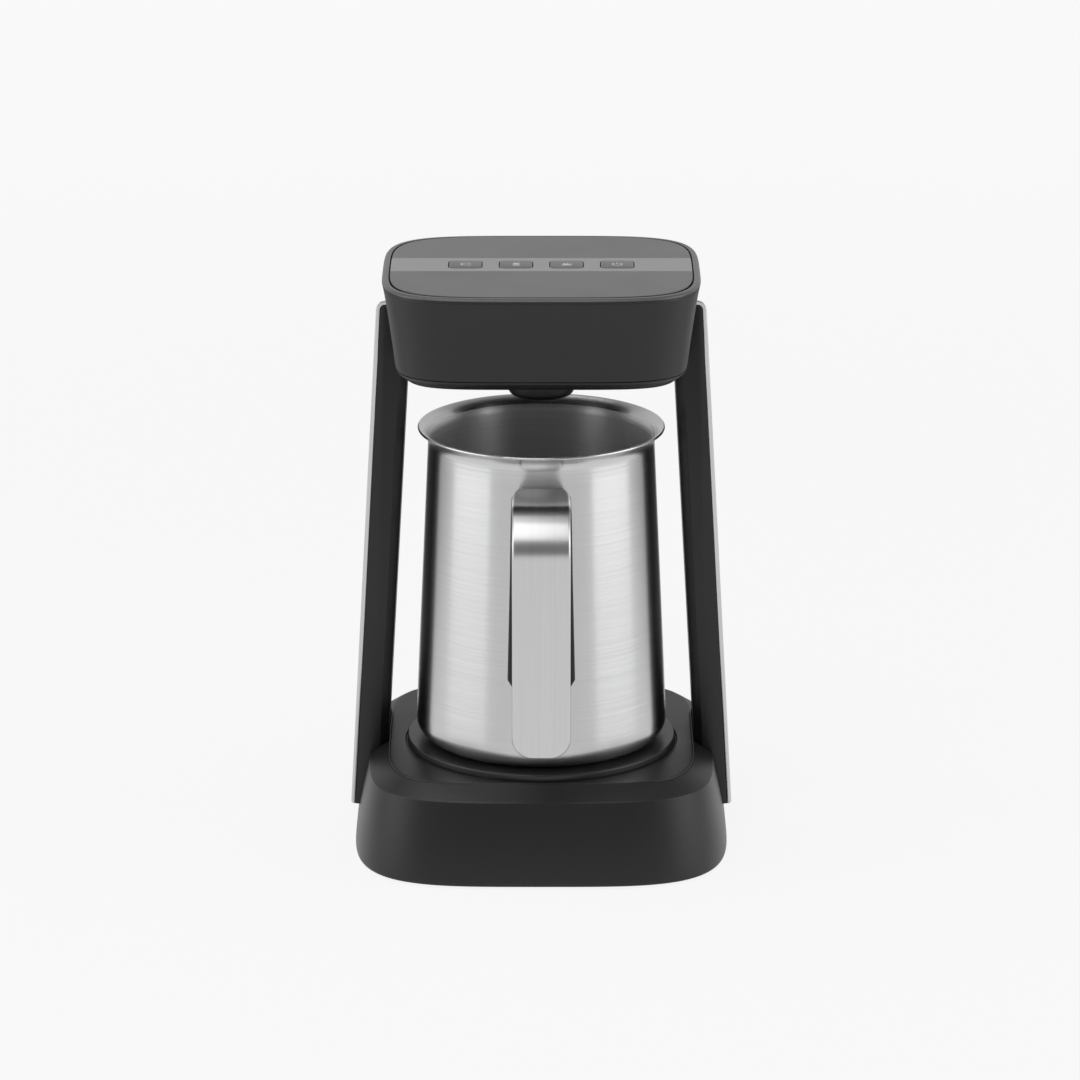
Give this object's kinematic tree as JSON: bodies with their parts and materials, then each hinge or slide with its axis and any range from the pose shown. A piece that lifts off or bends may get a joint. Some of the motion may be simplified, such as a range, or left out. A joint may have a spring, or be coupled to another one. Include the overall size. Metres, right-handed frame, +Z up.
{
  "type": "electric turkish coffee maker",
  "caption": "Countertop coffee maker: black heated base, two leaning steel-faced arms, a head with touch keys and a brushed steel jug with a hooked strap handle.",
  "frame": {"origin": "on the table under the jug's axis, which is also the middle of the object's footprint", "axes": "+Z up, -Y towards the person using it, where the jug's handle points, +X to that person's right"},
  "size_m": [0.1438, 0.156, 0.2194],
  "materials": {
    "black_casing": "semi-gloss black moulded plastic",
    "black_parts": "matte black moulded plastic",
    "grey_panel": "satin dark grey panel",
    "silver_band": "satin mid-grey metallic paint on plastic",
    "key_caps": "satin grey caps with pale printed symbols",
    "brushed_steel": "fine brushed stainless steel",
    "coated_plate": "dark heat-proof coating on aluminium",
    "heater_aluminium": "cast and pressed aluminium",
    "zinc_steel": "zinc-plated steel",
    "foot_rubber": "black rubber",
    "seal_rubber": "black silicone rubber",
    "cable_jacket": "dark grey cable jacket",
    "circuit_board": "green solder mask on fibreglass",
    "board_parts": "black moulded components",
    "lens_glass": "dark infrared window"
  },
  "bodies": {
    "stand": {"base_shell": "black_casing", "base_cover": "black_casing", "base_feet": "foot_rubber", "base_screws": "zinc_steel", "warming_plate": "coated_plate", "plate_seal": "seal_rubber", "plate_carrier": "zinc_steel", "carrier_screws": "zinc_steel", "heating_element": "heater_aluminium", "thermostat": "heater_aluminium", "power_board": "circuit_board", "power_board_parts": "board_parts", "power_board_screws": "zinc_steel", "cord_inlet": "black_parts", "left_arm": "black_casing", "right_arm": "black_casing", "left_arm_plate": "brushed_steel", "right_arm_plate": "brushed_steel", "arm_screws": "zinc_steel", "wire_loom": "cable_jacket", "head_shell": "black_casing", "head_cover": "black_casing", "head_screws": "zinc_steel", "top_panel": "grey_panel", "panel_band": "silver_band", "key_switches": "board_parts", "control_board": "circuit_board", "control_board_screws": "zinc_steel", "buzzer": "board_parts", "sensor_boss": "black_casing", "sensor_lens": "lens_glass", "sensor_board": "circuit_board", "boss_screws": "zinc_steel"},
    "jug": {"jug_body": "brushed_steel", "jug_bracket": "brushed_steel", "handle_strap": "brushed_steel", "handle_grip": "black_parts", "handle_screws": "zinc_steel"},
    "key_1": {"key_1": "key_caps"},
    "key_2": {"key_2": "key_caps"},
    "key_3": {"key_3": "key_caps"},
    "key_4": {"key_4": "key_caps"}
  },
  "joints": [
    {"name": "jug_slide", "type": "slide", "parent": "stand", "child": "jug", "axis": [0, -1, 0], "range_m": [0, 0.13]},
    {"name": "key_1_press", "type": "slide", "parent": "stand", "child": "key_1", "axis": [0, 0, -1], "range_m": [0, 0.0008], "stiffness_N_per_m": 1200, "springref_m": -0.0006},
    {"name": "key_2_press", "type": "slide", "parent": "stand", "child": "key_2", "axis": [0, 0, -1], "range_m": [0, 0.0008], "stiffness_N_per_m": 1200, "springref_m": -0.0006},
    {"name": "key_3_press", "type": "slide", "parent": "stand", "child": "key_3", "axis": [0, 0, -1], "range_m": [0, 0.0008], "stiffness_N_per_m": 1200, "springref_m": -0.0006},
    {"name": "key_4_press", "type": "slide", "parent": "stand", "child": "key_4", "axis": [0, 0, -1], "range_m": [0, 0.0008], "stiffness_N_per_m": 1200, "springref_m": -0.0006}
  ]
}
